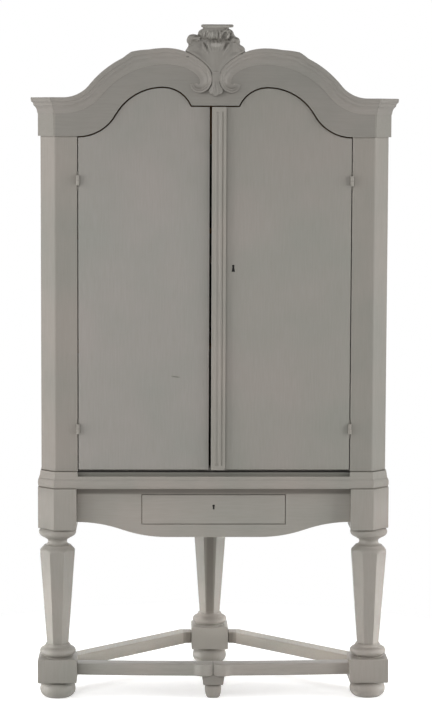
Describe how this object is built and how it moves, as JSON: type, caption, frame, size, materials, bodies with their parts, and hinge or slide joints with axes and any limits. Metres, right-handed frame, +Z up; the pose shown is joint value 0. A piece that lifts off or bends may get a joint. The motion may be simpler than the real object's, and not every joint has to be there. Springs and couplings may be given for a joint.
{
  "type": "corner cabinet",
  "caption": "Painted wooden corner cabinet: arched double doors under a scrolled cornice with a carved crest, on a stand with octagonal legs, a drawer and stretchers.",
  "frame": {"origin": "on the floor under the middle of the cabinet's box", "axes": "+X to the viewer's right, +Y to the corner of the room, +Z up; the doors face -Y"},
  "size_m": [1.1676, 0.658, 2.1588],
  "materials": {
    "painted_wood": "satin warm grey paint",
    "painted_door": "satin grey paint",
    "bare_wood": "unfinished oak, aged",
    "iron": "dark forged iron",
    "painted_iron": "grey paint over iron"
  },
  "bodies": {
    "cabinet": {"front_left_leg": "painted_wood", "front_right_leg": "painted_wood", "rear_leg": "painted_wood", "front_left_foot": "painted_wood", "front_right_foot": "painted_wood", "rear_foot": "painted_wood", "centre_foot": "painted_wood", "front_stretcher": "painted_wood", "left_stretcher": "painted_wood", "right_stretcher": "painted_wood", "front_apron": "painted_wood", "left_rear_rail": "painted_wood", "right_rear_rail": "painted_wood", "stand_top": "painted_wood", "left_post": "painted_wood", "right_post": "painted_wood", "left_back_panel": "painted_wood", "right_back_panel": "painted_wood", "rear_post": "painted_wood", "bottom_board": "painted_wood", "top_board": "painted_wood", "frieze_board": "painted_wood", "left_frieze_return": "painted_wood", "right_frieze_return": "painted_wood", "left_cornice": "painted_wood", "right_cornice": "painted_wood", "left_cornice_return": "painted_wood", "right_cornice_return": "painted_wood", "crest": "painted_wood", "left_drawer_runner": "bare_wood", "right_drawer_runner": "bare_wood", "lower_shelf": "bare_wood", "upper_shelf": "bare_wood", "lower_left_batten": "bare_wood", "lower_right_batten": "bare_wood", "upper_left_batten": "bare_wood", "upper_right_batten": "bare_wood", "head_rail": "bare_wood", "left_lower_post_hinge": "painted_iron", "left_upper_post_hinge": "painted_iron", "right_lower_post_hinge": "painted_iron", "right_upper_post_hinge": "painted_iron"},
    "left_door": {"left_door": "painted_door", "left_lower_door_hinge": "painted_iron", "left_upper_door_hinge": "painted_iron"},
    "right_door": {"right_door": "painted_door", "astragal": "painted_wood", "door_lock": "iron", "right_lower_door_hinge": "painted_iron", "right_upper_door_hinge": "painted_iron"},
    "drawer": {"drawer_front": "painted_wood", "drawer_left_side": "bare_wood", "drawer_right_side": "bare_wood", "drawer_bottom": "bare_wood", "drawer_back": "bare_wood", "drawer_lock": "iron"},
    "door_lock_bolt": {"door_lock_bolt": "iron"},
    "left_door_bolt": {"left_door_bolt": "iron"},
    "drawer_lock_bolt": {"drawer_lock_bolt": "iron"}
  },
  "joints": [
    {"name": "left_door_hinge", "type": "hinge", "parent": "cabinet", "child": "left_door", "pos_m": [-0.434, -0.287, 1.27], "axis": [0, 0, -1], "range_deg": [0, 110]},
    {"name": "right_door_hinge", "type": "hinge", "parent": "cabinet", "child": "right_door", "pos_m": [0.434, -0.287, 1.27], "axis": [0, 0, 1], "range_deg": [0, 110]},
    {"name": "drawer_slide", "type": "slide", "parent": "cabinet", "child": "drawer", "axis": [0, -1, 0], "range_m": [0, 0.24]},
    {"name": "door_lock_slide", "type": "slide", "parent": "right_door", "child": "door_lock_bolt", "axis": [-1, 0, 0], "range_m": [0, 0.014]},
    {"name": "left_bolt_slide", "type": "slide", "parent": "left_door", "child": "left_door_bolt", "axis": [0, 0, 1], "range_m": [0, 0.022]},
    {"name": "drawer_lock_slide", "type": "slide", "parent": "drawer", "child": "drawer_lock_bolt", "axis": [0, 0, 1], "range_m": [0, 0.016]}
  ]
}
